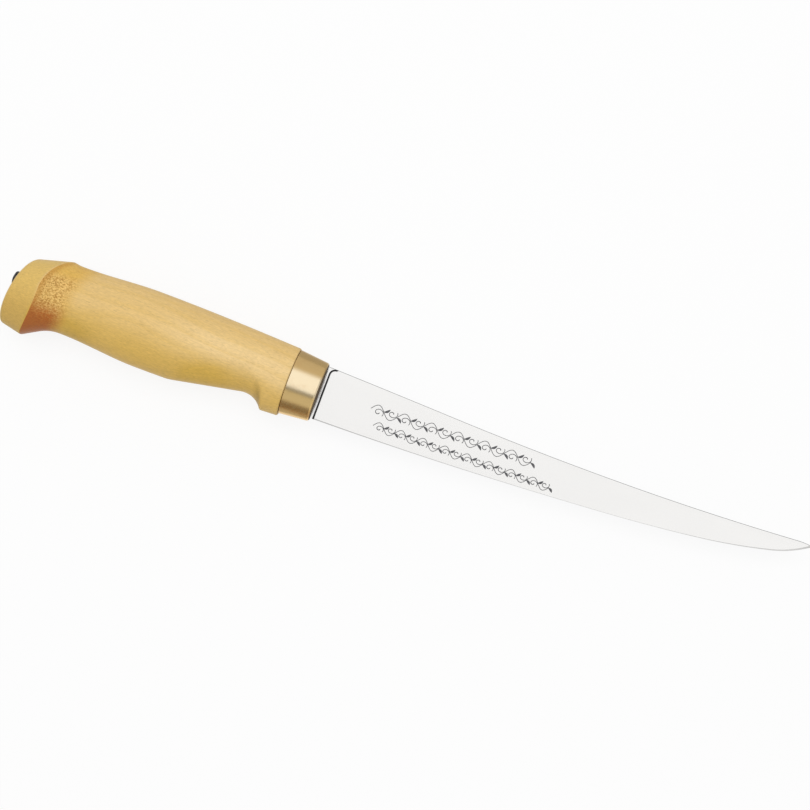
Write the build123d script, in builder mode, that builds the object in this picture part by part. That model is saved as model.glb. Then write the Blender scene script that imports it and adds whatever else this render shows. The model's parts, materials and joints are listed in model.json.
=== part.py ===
"""A fillet knife lying on its side: +X runs to the tip, +Y to the spine and +Z up through the thickness.

Places along the knife are given as a distance back from the ferrule's front face, where the blade starts,
and on the pommel as a distance from the butt.
"""

from build123d import *
import os
from math import atan, cos, pi, radians, sin, sqrt, tan

os.makedirs("parts", exist_ok=True)

# Overall sizes
blade_length = 190
handle_reach = 120.5
overrun = 6

# Blade: heights from the tang's axis, and the plate that it is ground from
heel_above = 10.4
heel_below = 9.9
tip_above = 10.9
plate_thickness = 1.5
edge_land = 0.1
edge_bevel_angle = 17
edge_bevel_reach = 1.3

# Blade grind: half thicknesses of the flat flank, which is one plane on each side
flank_at_heel_spine = 0.70
flank_at_heel_edge = 0.17
flank_at_tip = 0.32
ricasso_length = 0.9
plunge_radius = 2.6

# Blade outline: where its arcs meet, as shares of its length and of its height at the heel
spine_angle_at_heel = -1.44
spine_shares = ((0.263, 0.857), (0.632, 0.798), (0.968, 1.074))
edge_angle_at_heel = 1.0
edge_shares = ((0.316, 0.789), (0.605, 0.431), (0.789, 0.066), (0.926, -0.434))

# Tang, riveted over at the butt
tang_height = 9
tang_tail_height = 3.2
tail_length = 14
rivet_radius = 1.9
rivet_height = 0.4
rivet_edge = 0.15

# Ferrule: a tapered oval cup
ferrule_length = 11.4
ferrule_front_above = 11.5
ferrule_front_below = 11.2
ferrule_front_half_width = 8.5
ferrule_flare = 1.1
ferrule_wall = 0.8
ferrule_front_wall = 1.5
ferrule_edge_radius = 0.9
slot_clearance = 0.1
rim_gap = 0.2
tenon_clearance = 0.05

# Handle: half sizes of its oval at the shoulder, the belly and the neck
shoulder_above = 13.0
shoulder_below = 13.3
shoulder_half_width = 9.8
shoulder_edge = 0.5
belly_back = 67
belly_above = 14.4
belly_below = 15.1
belly_half_width = 11.7
neck_from_butt = 22.25
neck_above = 13.0
neck_below = 13.3
neck_half_width = 10.45
swell_shares = (0, 0.1, 0.25, 0.45, 0.7, 1)
waist_shares = (0.25, 0.5, 0.75, 1)

# Handle: the hollow behind the neck, an arc that runs out straight, the ridge where it ends, and the
# tapered pommel with its domed butt
cove_radius = 15.5
cove_angle = 29.7
cove_reach = 15.2
cove_shares = (0.2, 0.4, 0.6, 0.75, 0.9, 1)
ridge_above_from_butt = 18.5
ridge_below_from_butt = 8.75
ridge_side_from_butt = 12.8
pommel_taper_above = 0.276
pommel_taper_below = 0.213
pommel_taper_side = 0.285
dome_radius = 48
dome_below = 11.6
butt_edge_radius = 1

# Handle: finger groove, an oval scoop that rises to the front and ends in a hollow wall
groove_peak_back = 25.7
groove_peak_below = 9.5
groove_rise = 0.197
groove_wall_radius = 8.4
groove_half_height = 16.1
groove_half_width = 11.35
groove_side_opening = 0.03
groove_wall_opening = 0.14
groove_length = 36
groove_waste_above = 6
groove_wall_shares = (0, 0.24, 0.48, 0.66, 0.83, 0.95)

# Bore for the tang, and the washer that stands out of the butt
bore_height = 10
bore_width = 3.2
bore_tail_length = 12
tail_clearance = 0.1
washer_radius = 3
washer_thickness = 3
washer_proud = 0.45
washer_clearance = 0.1

neck_back = handle_reach - neck_from_butt
ridge_above_back = handle_reach - ridge_above_from_butt
ridge_below_back = handle_reach - ridge_below_from_butt
ridge_side_back = handle_reach - ridge_side_from_butt
washer_face_back = handle_reach + washer_proud


def cove(distance):
    """How far the hollow has climbed, at a distance behind the neck."""
    on_arc = min(distance, cove_radius * sin(radians(cove_angle)))
    climb = cove_radius - sqrt(cove_radius**2 - on_arc**2)
    return climb + (distance - on_arc) * tan(radians(cove_angle))


def grip_size(back, shoulder, belly, neck):
    """A half size of the grip: it swells to the belly, narrows to the neck and climbs in the hollow."""
    if back <= belly_back:
        share = (back - shoulder_back) / (belly_back - shoulder_back)
        return shoulder + (belly - shoulder) * sin(share * pi / 2)
    if back <= neck_back:
        share = (back - belly_back) / (neck_back - belly_back)
        return neck + (belly - neck) * (1 + cos(share * pi)) / 2
    return neck + cove(back - neck_back)


shoulder_back = ferrule_length + rim_gap
pommel_half_width = neck_half_width + cove(ridge_side_back - neck_back)
beak_below = neck_below + cove(ridge_below_back - neck_back)
crest_above = neck_above + cove(ridge_above_back - neck_back)
groove_start = -groove_wall_radius * sin(atan(groove_rise))

# The origin is under the middle of the knife's box, on the surface that the knife lies on
ferrule_front_x = (washer_face_back + rivet_height - blade_length) / 2
axis_y = (beak_below - belly_above) / 2
middle_z = pommel_half_width
side = Plane(origin=(ferrule_front_x, axis_y, middle_z))


def across(back):
    """A plane across the handle, with its own X to the spine."""
    return Plane(origin=(ferrule_front_x - back, axis_y, middle_z), x_dir=(0, 1, 0), z_dir=(1, 0, 0))


def oval(back, above, below, half_width, centre=0):
    """An oval across the handle, whose upper and lower halves may differ in height."""
    with BuildSketch(across(back)) as outline:
        with BuildLine():
            EllipticalCenterArc((centre, 0), above, half_width, -90, arc_size=180)
            EllipticalCenterArc((centre, 0), below, half_width, 90, arc_size=180)
        make_face()
    return outline.sketch


def grip_oval(back):
    above = grip_size(back, shoulder_above, belly_above, neck_above)
    below = grip_size(back, shoulder_below, belly_below, neck_below)
    half_width = grip_size(back, shoulder_half_width, belly_half_width, neck_half_width)
    return oval(back, above, below, half_width)


def pommel_oval(back):
    above = crest_above - (back - ridge_above_back) * pommel_taper_above
    below = beak_below - (back - ridge_below_back) * pommel_taper_below
    half_width = pommel_half_width - (back - ridge_side_back) * pommel_taper_side
    return oval(back, above, below, half_width)


def groove_oval(ahead, run=0):
    """The scoop's oval at a distance ahead of its peak, or run back from there along its slope."""
    drop = groove_wall_radius - sqrt(groove_wall_radius**2 - ahead**2)
    half_height = groove_half_height + drop
    opening = (ahead - groove_start) * groove_wall_opening + run * groove_side_opening
    centre = groove_half_height - groove_peak_below - groove_rise * run
    back = groove_peak_back - ahead + run
    return oval(back, half_height, half_height, groove_half_width + opening, centre)


# Tang: a stick that tapers to the butt, in one piece with the blade
tang_end_back = washer_face_back
with BuildPart() as tang:
    with BuildSketch(side):
        with BuildLine():
            Polyline(
                (0, tang_height / 2),
                (tail_length - tang_end_back, tang_tail_height / 2),
                (-tang_end_back, tang_tail_height / 2),
                (-tang_end_back, -tang_tail_height / 2),
                (tail_length - tang_end_back, -tang_tail_height / 2),
                (0, -tang_height / 2),
                close=True,
            )
        make_face()
    extrude(amount=plate_thickness / 2, both=True)

# Grinding waste: all that stands over the flat flank, from the rounded plunge line on
flank_rise = (flank_at_heel_spine - flank_at_heel_edge) / (heel_above + heel_below)
flank_at_axis = flank_at_heel_spine - flank_rise * heel_above
flank_fall = (flank_at_axis + flank_rise * tip_above - flank_at_tip) / blade_length
flank = Plane(
    origin=(ferrule_front_x, axis_y, middle_z + flank_at_axis),
    x_dir=(1, 0, -flank_fall),
    z_dir=(flank_fall, -flank_rise, 1),
)
with BuildPart() as grinding_waste:
    with BuildSketch(side):
        with BuildLine():
            rise = Line((ricasso_length, -heel_below - overrun), (ricasso_length, heel_above - plunge_radius))
            turn = TangentArc(rise @ 1, (ricasso_length + plunge_radius, heel_above), tangent=rise % 1)
            Polyline(
                turn @ 1,
                (ricasso_length + plunge_radius, heel_above + overrun),
                (blade_length + overrun, heel_above + overrun),
                (blade_length + overrun, -heel_below - overrun),
                rise @ 0,
            )
        make_face()
    extrude(amount=plate_thickness)
    split(bisect_by=flank, keep=Keep.TOP)

# Blade
spine_points = [(x * blade_length, y * heel_above) for x, y in spine_shares]
edge_points = [(x * blade_length, -y * heel_below) for x, y in edge_shares]
tip = (blade_length, tip_above)


def tangent_arcs(start_angle, points):
    """Arcs through the points, each tangent to the one before. The first starts at an angle to the knife."""
    arc = TangentArc(points[0], points[1], tangent=Vector(1, 0).rotate(Axis.Z, start_angle))
    for point in points[2:]:
        arc = TangentArc(arc @ 1, point, tangent=arc % 1)


with BuildLine() as edge_line:
    tangent_arcs(edge_angle_at_heel, [(0, -heel_below), *edge_points, tip])

with BuildPart() as edge_waste:
    with BuildSketch(across(0)):
        bevel_top = edge_land / 2 + edge_bevel_reach * tan(radians(edge_bevel_angle))
        bevel_foot = edge_land / 2 - overrun * tan(radians(edge_bevel_angle))
        with BuildLine():
            Polyline(
                (-heel_below - overrun, bevel_foot),
                (-heel_below + edge_bevel_reach, bevel_top),
                (-heel_below - overrun, bevel_top),
                close=True,
            )
        make_face()
    sweep(path=edge_line.wire().moved(side.location))
    split(bisect_by=across(-ricasso_length), keep=Keep.TOP)

with BuildPart() as blade:
    with BuildSketch(side):
        with BuildLine():
            tangent_arcs(spine_angle_at_heel, [(0, heel_above), *spine_points, tip])
            tangent_arcs(edge_angle_at_heel, [(0, -heel_below), *edge_points, tip])
            Line((0, heel_above), (0, -heel_below))
        make_face()
    extrude(amount=plate_thickness / 2, both=True)
    for waste in (grinding_waste.part, edge_waste.part):
        add(waste, mode=Mode.SUBTRACT)
        mirror(waste, about=side, mode=Mode.SUBTRACT)
    add(tang.part)
    with BuildSketch(across(tang_end_back)):
        Circle(rivet_radius)
    extrude(amount=-rivet_height)
    fillet(blade.faces().sort_by(Axis.X)[0].edges(), rivet_edge)
blade.part.label = "blade"
export_step(blade.part, "parts/blade.step")


def ferrule_oval(back, inset):
    """The ferrule's tapered oval, drawn in by the wall or the fit."""
    growth = ferrule_flare * back / ferrule_length - inset
    return oval(
        back,
        ferrule_front_above + growth,
        ferrule_front_below + growth,
        ferrule_front_half_width + growth,
    )


# Ferrule
with BuildPart() as ferrule:
    loft(sections=[ferrule_oval(0, 0), ferrule_oval(ferrule_length, 0)], ruled=True)
    fillet(ferrule.faces().sort_by(Axis.X)[-1].edges(), ferrule_edge_radius)
    cavity = [ferrule_oval(back, ferrule_wall) for back in (ferrule_front_wall, ferrule_length + overrun)]
    loft(sections=cavity, ruled=True, mode=Mode.SUBTRACT)
    with BuildSketch(across(ferrule_front_wall + overrun)):
        Rectangle(tang_height + 2 * slot_clearance, plate_thickness + 2 * slot_clearance)
    extrude(amount=ferrule_front_wall + 2 * overrun, mode=Mode.SUBTRACT)
ferrule.part.label = "ferrule"
export_step(ferrule.part, "parts/ferrule.step")

# Pommel: tapered to a domed butt, and what is cut away outside it
pommel_start = ridge_above_back - overrun
with BuildPart() as pommel:
    loft(sections=[pommel_oval(pommel_start), pommel_oval(handle_reach + overrun)], ruled=True)
    with Locations(side * Pos(dome_radius - handle_reach, -dome_below, 0)):
        Sphere(dome_radius, mode=Mode.INTERSECT)
    fillet(pommel.faces().sort_by(Axis.X)[0].edges(), butt_edge_radius)

flare_reach = neck_below + cove(cove_reach) + overrun
with BuildPart() as pommel_waste:
    with BuildSketch(across(pommel_start)):
        Rectangle(2 * flare_reach, 2 * flare_reach)
    extrude(amount=pommel_start - handle_reach - 2 * overrun)
    add(pommel.part, mode=Mode.SUBTRACT)

# Finger groove: what is cut away under the scoop and its front wall
groove_places = [groove_start] + [share * groove_wall_radius for share in groove_wall_shares]
with BuildPart() as scoop:
    loft(sections=[groove_oval(ahead) for ahead in groove_places])
    loft(
        sections=[groove_oval(groove_start), groove_oval(groove_start, groove_length)],
        ruled=True,
    )

with BuildPart() as groove_waste:
    waste_bottom = belly_below + overrun
    with BuildSketch(across(groove_peak_back - groove_places[-1])):
        with Locations(((groove_waste_above - waste_bottom) / 2, 0)):
            Rectangle(groove_waste_above + waste_bottom, 2 * (belly_half_width + overrun))
    extrude(amount=-(groove_length + groove_places[-1] - groove_start))
    add(scoop.part, mode=Mode.SUBTRACT)

# Handle
grip_backs = [shoulder_back + share * (belly_back - shoulder_back) for share in swell_shares]
grip_backs += [belly_back + share * (neck_back - belly_back) for share in waist_shares]
grip_backs += [neck_back + share * cove_reach for share in cove_shares]
tenon_front = ferrule_front_wall + tenon_clearance
tenon_inset = ferrule_wall + tenon_clearance
bore_end = handle_reach - bore_tail_length
washer_seat = washer_face_back - washer_thickness
with BuildPart() as handle:
    loft(sections=[grip_oval(back) for back in grip_backs])
    extrude(grip_oval(grip_backs[-1]), amount=-(handle_reach + overrun - grip_backs[-1]))
    fillet(handle.faces().sort_by(Axis.X)[-1].edges(), shoulder_edge)
    add(pommel_waste.part, mode=Mode.SUBTRACT)
    add(groove_waste.part, mode=Mode.SUBTRACT)
    loft(
        sections=[ferrule_oval(tenon_front, tenon_inset), ferrule_oval(shoulder_back + shoulder_edge, tenon_inset)],
        ruled=True,
    )
    with BuildSketch(across(bore_end)):
        SlotOverall(bore_height, bore_width)
    extrude(amount=bore_end, mode=Mode.SUBTRACT)
    with BuildSketch(across(handle_reach)):
        Rectangle(tang_tail_height + 2 * tail_clearance, plate_thickness + 2 * tail_clearance)
    extrude(amount=handle_reach, mode=Mode.SUBTRACT)
    with BuildSketch(across(washer_seat)):
        Circle(washer_radius + washer_clearance)
    extrude(amount=-overrun, mode=Mode.SUBTRACT)
handle.part.label = "handle"
export_step(handle.part, "parts/handle.step")

# Glue that fills the bore round the tang
with BuildPart() as tang_glue:
    with BuildSketch(across(bore_end)):
        SlotOverall(bore_height, bore_width)
    extrude(amount=bore_end - tenon_front)
    add(tang.part, mode=Mode.SUBTRACT)
tang_glue.part.label = "tang_glue"
export_step(tang_glue.part, "parts/tang_glue.step")

# Washer at the butt
with BuildPart() as tang_washer:
    with BuildSketch(across(washer_face_back)):
        Circle(washer_radius)
        Rectangle(
            tang_tail_height + 2 * tail_clearance,
            plate_thickness + 2 * tail_clearance,
            mode=Mode.SUBTRACT,
        )
    extrude(amount=washer_thickness)
tang_washer.part.label = "tang_washer"
export_step(tang_washer.part, "parts/tang_washer.step")
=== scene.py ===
# %% [markdown]
# This lesson dresses a fillet knife that lies on its side. The knife has five pieces: a ground
# steel blade, a drawn brass ferrule, a carved birch handle, a small black washer at the butt, and
# the glue inside. The frame gives each piece its place and its real size, so every mesh here is
# drawn over the piece that it stands for, and nothing is fitted by eye.

import json
from functools import partialmethod
from math import atan2, cos, hypot, pi, radians, sin, tan

import bpy
import bmesh
import numpy as np
from mathutils import Matrix, Vector

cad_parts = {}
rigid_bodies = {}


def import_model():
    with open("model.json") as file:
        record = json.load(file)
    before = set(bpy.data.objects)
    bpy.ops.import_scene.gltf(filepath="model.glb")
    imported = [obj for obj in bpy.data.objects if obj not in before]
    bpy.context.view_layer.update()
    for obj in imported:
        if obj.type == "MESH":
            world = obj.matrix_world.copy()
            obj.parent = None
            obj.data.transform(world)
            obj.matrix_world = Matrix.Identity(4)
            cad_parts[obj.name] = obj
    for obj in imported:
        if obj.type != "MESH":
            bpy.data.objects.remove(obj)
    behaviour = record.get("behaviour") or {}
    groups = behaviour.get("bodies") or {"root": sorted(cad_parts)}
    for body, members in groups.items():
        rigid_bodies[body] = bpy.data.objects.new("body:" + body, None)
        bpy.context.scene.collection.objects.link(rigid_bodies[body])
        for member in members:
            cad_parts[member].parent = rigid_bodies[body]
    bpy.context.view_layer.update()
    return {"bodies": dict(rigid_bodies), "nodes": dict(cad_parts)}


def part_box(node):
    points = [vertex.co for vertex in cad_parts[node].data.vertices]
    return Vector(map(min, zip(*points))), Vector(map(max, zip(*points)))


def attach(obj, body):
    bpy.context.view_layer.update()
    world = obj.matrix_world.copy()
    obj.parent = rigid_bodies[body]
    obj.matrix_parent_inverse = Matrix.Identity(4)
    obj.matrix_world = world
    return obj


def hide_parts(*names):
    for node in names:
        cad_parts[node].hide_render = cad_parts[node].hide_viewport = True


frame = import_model()
scene = bpy.context.scene
body = next(iter(frame["bodies"]))
print("pieces in the frame:", sorted(frame["nodes"]), "on the body", body)

# %% [markdown]
# A knife is easiest to describe from one place: the middle of the ferrule's front face, where the
# blade starts. The washer is round and sits on the tang's axis, so its box gives that axis, and the
# ferrule's box gives the front face. Sizes along the knife are millimetres back from there, and the
# helper below turns them into Blender's metres.

# %% Find the knife's axis
MM = 0.001
washer_low, washer_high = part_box("tang_washer")
ferrule_low, ferrule_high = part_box("ferrule")
blade_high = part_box("blade")[1]
axis = (washer_low + washer_high) / 2
front_x = ferrule_high.x
blade_length = round((blade_high.x - front_x) / MM, 3)
ferrule_length = round((ferrule_high.x - ferrule_low.x) / MM, 3)
washer_proud = 0.45
washer_thickness = round((washer_high.x - washer_low.x) / MM, 3)
handle_reach = round((front_x - washer_low.x) / MM - washer_proud, 3)


def place(back, up, out):
    """Places in the frame, from millimetres behind the ferrule's front, up and out of the side."""
    x = front_x - np.asarray(back, float) * MM
    y = axis.y + np.asarray(up, float) * MM
    z = axis.z + np.asarray(out, float) * MM
    return np.stack(np.broadcast_arrays(x, y, z), axis=-1)


print("blade", blade_length, "mm, ferrule", ferrule_length, "mm long")
print("the handle reaches back", handle_reach, "mm")

# %% [markdown]
# The camera comes first, because it decides how much detail each piece needs. The picture looks
# almost straight down on the knife, with the knife running downhill to the right. The camera stands
# half a metre away and a little towards the tip, so the far ridge of the pommel shows its hollow
# side.

# %% Camera
PICTURE_SIZE = 810
pixels_per_mm = 2.705
knife_slope = 20.6
camera_distance = 0.50
camera_lean = 1.2
centre_ahead = 31.4
centre_up = 7.0
sensor_width = 36


def add_object(name, data):
    """A new object in the scene, at the origin."""
    made = bpy.data.objects.new(name, data)
    scene.collection.objects.link(made)
    return made


camera_data = bpy.data.cameras.new("camera")
camera = add_object("camera", camera_data)
scene.camera = camera
target = Vector(place(-centre_ahead, centre_up, 0))
lean = radians(camera_lean)
towards_camera = Vector((sin(lean), 0, cos(lean)))
slope = radians(knife_slope)
picture_up = Vector((-sin(slope), cos(slope), 0))
picture_up = (picture_up - towards_camera * picture_up.dot(towards_camera)).normalized()
picture_right = picture_up.cross(towards_camera)
turned = Matrix((picture_right, picture_up, towards_camera)).transposed().to_4x4()
camera.matrix_world = Matrix.Translation(target + towards_camera * camera_distance) @ turned
camera_data.sensor_width = sensor_width
frame_width = PICTURE_SIZE / pixels_per_mm * MM
camera_data.lens = sensor_width * camera_distance / frame_width
print("lens", round(camera_data.lens, 1), "mm for a picture", round(frame_width, 3), "m wide")

# %% [markdown]
# Node trees are long to write by hand. A small class stands for one socket and knows arithmetic, so
# that an expression such as 1 - mask adds its own Math nodes.

# %% A socket that knows arithmetic
class Wire:
    """A socket in a node tree. Sums, products and comparisons of wires add Math nodes."""

    def __init__(self, board, socket):
        self.board = board
        self.socket = socket

    def math(self, operation, *others):
        inputs = dict(enumerate((self, *others)))
        return self.board.node("ShaderNodeMath", {"operation": operation}, inputs)

    def reversed_math(self, operation, other):
        return self.board.node("ShaderNodeMath", {"operation": operation}, {0: other, 1: self})

    def output(self, name):
        """Another output of the node that this wire comes from."""
        return Wire(self.board, self.socket.node.outputs[name])

    __add__ = __radd__ = partialmethod(math, "ADD")
    __mul__ = __rmul__ = partialmethod(math, "MULTIPLY")
    __sub__ = partialmethod(math, "SUBTRACT")
    __rsub__ = partialmethod(reversed_math, "SUBTRACT")
    __truediv__ = partialmethod(math, "DIVIDE")
    __rtruediv__ = partialmethod(reversed_math, "DIVIDE")
    __pow__ = partialmethod(math, "POWER")
    __gt__ = partialmethod(math, "GREATER_THAN")
    __lt__ = partialmethod(math, "LESS_THAN")

    def between(self, low, high):
        """0 below low, 1 above high and an even ramp between them. High may be the lower number."""
        ramp = (self - low) / (high - low)
        return ramp.math("MAXIMUM", 0).math("MINIMUM", 1)

    def smooth(self, low, high):
        """As between, with a soft start and end."""
        share = self.between(low, high)
        return share * share * (3 - 2 * share)


# %% [markdown]
# A second class stands for a whole node tree and adds every other kind of node. Settings come
# first, because they can change the sockets. Then come the inputs, in a dictionary by their
# numbers, or by their names, with _ for a space.

# %% A tree to put nodes on
class Board:
    """A node tree to work on."""

    def __init__(self, tree):
        self.tree = tree

    def node(self, kind, settings=None, inputs=None, **named):
        made = self.tree.nodes.new(kind)
        for name, value in (settings or {}).items():
            if name == "stops":
                self.set_stops(made.color_ramp, value)
            else:
                setattr(made, name, value)
        for key, value in (inputs or {}).items():
            self.plug(value, made.inputs[key])
        self.feed(made, **named)
        outputs = [socket for socket in made.outputs if socket.enabled]
        return Wire(self, outputs[0]) if outputs else made

    def feed(self, node, **named):
        for name, value in named.items():
            self.plug(value, node.inputs[name.replace("_", " ")])

    def plug(self, value, socket):
        if isinstance(value, Wire):
            self.tree.links.new(value.socket, socket)
        elif isinstance(value, tuple) and len(value) == 3 and socket.type == "RGBA":
            socket.default_value = (*value, 1)
        else:
            socket.default_value = value

    def set_stops(self, ramp, stops):
        while len(ramp.elements) < len(stops):
            ramp.elements.new(1)
        for element, (position, value) in zip(ramp.elements, stops):
            element.position = position
            element.color = (*value, 1)

    def mix(self, factor, first, second, mode="MIX"):
        """A colour between two others."""
        settings = {"data_type": "RGBA", "blend_type": mode}
        return self.node("ShaderNodeMix", settings, {0: factor, 6: first, 7: second})

    def scaled(self, vector, shares):
        return self.node("ShaderNodeVectorMath", {"operation": "MULTIPLY"}, {0: vector, 1: shares})

    def join(self, x, y, z):
        return self.node("ShaderNodeCombineXYZ", X=x, Y=y, Z=z)

    def parts(self, vector):
        """The three numbers of a vector, as three wires."""
        split = self.node("ShaderNodeSeparateXYZ", Vector=vector)
        return [split.output(name) for name in "XYZ"]

    def mark(self, name):
        """A number that a mesh carries on its points."""
        return self.node("ShaderNodeAttribute", {"attribute_name": name}).output("Fac")


trial = bpy.data.node_groups.new("trial", "ShaderNodeTree")
answer = 1 - Board(trial).node("ShaderNodeValue") * 2
last_step = answer.socket.node.operation.lower()
print("1 - value * 2 made", len(trial.nodes), "nodes, the last to", last_step)
bpy.data.node_groups.remove(trial)

# %% [markdown]
# The handle, the ferrule, the washer and the tang are all skins stretched over cross-sections. Each
# section is a ring of points round the axis, given by one number for each direction: how far the
# surface is from the axis there. Rings that follow each other make a clean, even grid of four-sided
# faces, which takes light much better than the long triangles of a cut solid.

# %% Rings round the axis
AROUND = 200
TINY = 1e-9
angles = np.linspace(0, 2 * pi, AROUND, endpoint=False)
toward_spine = np.cos(angles)
toward_side = np.sin(angles)


def ring(back, radius):
    """A ring of points at a distance behind the ferrule's front."""
    return place(back, radius * toward_spine, radius * toward_side)


def oval(above, below, half_width, centre=0):
    """Distance from the axis to an oval, in each direction."""
    half_height = np.where(toward_spine > 0, above, below)
    a = (toward_spine / half_height) ** 2 + (toward_side / half_width) ** 2
    b = centre * toward_spine / half_height**2
    c = (centre / half_height) ** 2 - 1
    return (b + np.sqrt(b * b - a * c)) / a


def slot(height, width):
    """Distance from the axis to a rectangle, in each direction."""
    return np.minimum(
        height / 2 / np.maximum(np.abs(toward_spine), TINY),
        width / 2 / np.maximum(np.abs(toward_side), TINY),
    )


def rounded(face_back, edge, steps):
    """Pairs of distance back and inset, from a flat face round its edge onto the wall. The edge is
    below zero where the wall lies ahead of the face."""
    turns = np.linspace(0, pi / 2, steps)
    return [(face_back + edge * (1 - cos(turn)), abs(edge) * (1 - sin(turn))) for turn in turns]


slot_corner = float(slot(10, 4).max())
print("a slot of 10 by 4 mm reaches", round(slot_corner, 1), "mm from the axis at its corners")

# %% [markdown]
# A skin joins each ring to the next with four-sided faces. Where rings meet, or shrink to a point
# on the axis, points coincide and some faces have no area. So such points are merged, those faces
# go, and the rest are turned outwards. A skin can also carry a number on each point for a material
# to read, such as how deep the wood is scooped there.

# %% A skin over the rings
MERGE_DISTANCE = 2e-6


def store(mesh, name, values):
    """Keeps a number for each point of a mesh, for a material to read."""
    layer = mesh.attributes.new(name, "FLOAT", "POINT")
    layer.data.foreach_set("value", np.asarray(values, np.float32).ravel())


def skin(name, pairs, closed_loop=True, **marks):
    """A mesh through rings, each given by its distances back and from the axis. In a closed loop
    the last ring joins the first, as on a pipe's wall."""
    rings = np.asarray([ring(back, radius) for back, radius in pairs])
    count, around = rings.shape[:2]
    index = np.arange(count * around).reshape(count, around)
    ahead = np.roll(index, -1, axis=0)
    corners = [index, np.roll(index, -1, axis=1), np.roll(ahead, -1, axis=1), ahead]
    faces = np.stack(corners, axis=-1)
    if not closed_loop:
        faces = faces[:-1]
    mesh = bpy.data.meshes.new(name)
    mesh.from_pydata(rings.reshape(-1, 3).tolist(), [], faces.reshape(-1, 4).tolist())
    for mark, values in marks.items():
        store(mesh, mark, values)
    print(name, "is a skin over", count, "rings of", around, "points")
    return close_up(mesh)


def close_up(mesh):
    """Merges points that coincide, drops faces without area and turns the rest outwards."""
    shell = bmesh.new()
    shell.from_mesh(mesh)
    bmesh.ops.remove_doubles(shell, verts=shell.verts, dist=MERGE_DISTANCE)
    bmesh.ops.dissolve_degenerate(shell, edges=shell.edges, dist=MERGE_DISTANCE)
    bmesh.ops.recalc_face_normals(shell, faces=shell.faces)
    shell.to_mesh(mesh)
    shell.free()
    return mesh


# %% [markdown]
# A finished mesh takes its material and goes onto the knife, in place of the plain solid that the
# frame has there. It is shaded smooth except where two faces meet at more than a given angle, so
# that ridges and edges stay crisp.

# %% Onto the knife
def paint(mesh, material):
    """The whole mesh in one material."""
    mesh.materials.clear()
    mesh.materials.append(material)
    mesh.polygons.foreach_set("material_index", np.zeros(len(mesh.polygons), np.int32))


def finish_piece(name, mesh, node, material, smooth_angle):
    """Puts a mesh on the knife in place of a node, shaded smooth except at its sharp edges."""
    paint(mesh, material)
    mesh.shade_smooth()
    mesh.set_sharp_from_angle(angle=radians(smooth_angle))
    piece = add_object(name, mesh)
    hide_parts(node)
    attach(piece, body)
    print(name, "has", len(mesh.polygons), "faces")


# %% [markdown]
# The handle is one piece of birch, carved on a spindle and then cut for the finger. Three rules
# give its surface, and in each direction the wood ends at whichever comes first. The first is the
# grip: a swell to the belly, a waist at the neck and a hollow that climbs to the pommel. The second
# is the pommel's taper, which meets the hollow in a sharp ridge. The third is the finger groove, an
# oval scoop with a rounded front wall. Where three sizes stand together, they hold above the axis,
# below it and out of the side.

# %% Handle: sizes
shoulder_back = 11.6
shoulder = (13.0, 13.3, 9.8)
shoulder_edge = 0.5
belly_back = 67
belly = (14.4, 15.1, 11.7)
neck_back = handle_reach - 22.25
neck = (13.0, 13.3, 10.45)
cove_radius = 15.5
cove_angle = radians(29.7)
cove_reach = 15.2
ridge_above_back = handle_reach - 18.5
ridge_below_back = handle_reach - 8.75
ridge_side_back = handle_reach - 12.8
pommel_tapers = (0.276, 0.213, 0.285)
dome_radius = 48
dome_below = 11.6
butt_edge_radius = 1
groove_peak_back = 25.7
groove_peak_below = 9.5
groove_rise = 0.197
groove_wall_radius = 8.4
groove_half_height = 16.1
groove_half_width = 11.35
groove_side_opening = 0.03
groove_wall_opening = 0.14
groove_wall_reach = 0.95
groove_length = 36
groove_run_out = 2
ridge_softness = 0.25
groove_softness = 0.3
print("neck", round(neck_back, 1), "mm back, ridge from", round(ridge_above_back, 1), "mm")

# %% [markdown]
# Each rule gives the distance from the axis to the surface. A soft minimum joins the rules, so that
# each ridge is broken a little, as sandpaper leaves it.

# %% Handle: the rules
def soft_minimum(first, second, softness):
    """The smaller of two distances, eased where they cross."""
    near = np.maximum(softness - np.abs(first - second), 0) / softness
    return np.minimum(first, second) - near * near * softness / 4


def cove(distance):
    """How far the hollow behind the neck has climbed, first on an arc and then straight on."""
    distance = np.clip(distance, 0, cove_reach)
    on_arc = np.minimum(distance, cove_radius * sin(cove_angle))
    climb = cove_radius - np.sqrt(cove_radius**2 - on_arc**2)
    return climb + (distance - on_arc) * tan(cove_angle)


def grip_radius(back):
    swell = np.sin(np.clip((back - shoulder_back) / (belly_back - shoulder_back), 0, 1) * pi / 2)
    waist = (1 + np.cos(np.clip((back - belly_back) / (neck_back - belly_back), 0, 1) * pi)) / 2
    sizes = []
    for start, widest, narrow in zip(shoulder, belly, neck):
        ahead_of_belly = start + (widest - start) * swell
        behind_belly = narrow + (widest - narrow) * waist + cove(back - neck_back)
        sizes.append(np.where(back <= belly_back, ahead_of_belly, behind_belly))
    return oval(*sizes)


def pommel_radius(back):
    ridges = (ridge_above_back, ridge_below_back, ridge_side_back)
    sizes = [
        narrow + cove(ridge - neck_back) - (back - ridge) * taper
        for narrow, ridge, taper in zip(neck, ridges, pommel_tapers)
    ]
    return oval(*sizes)


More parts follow.
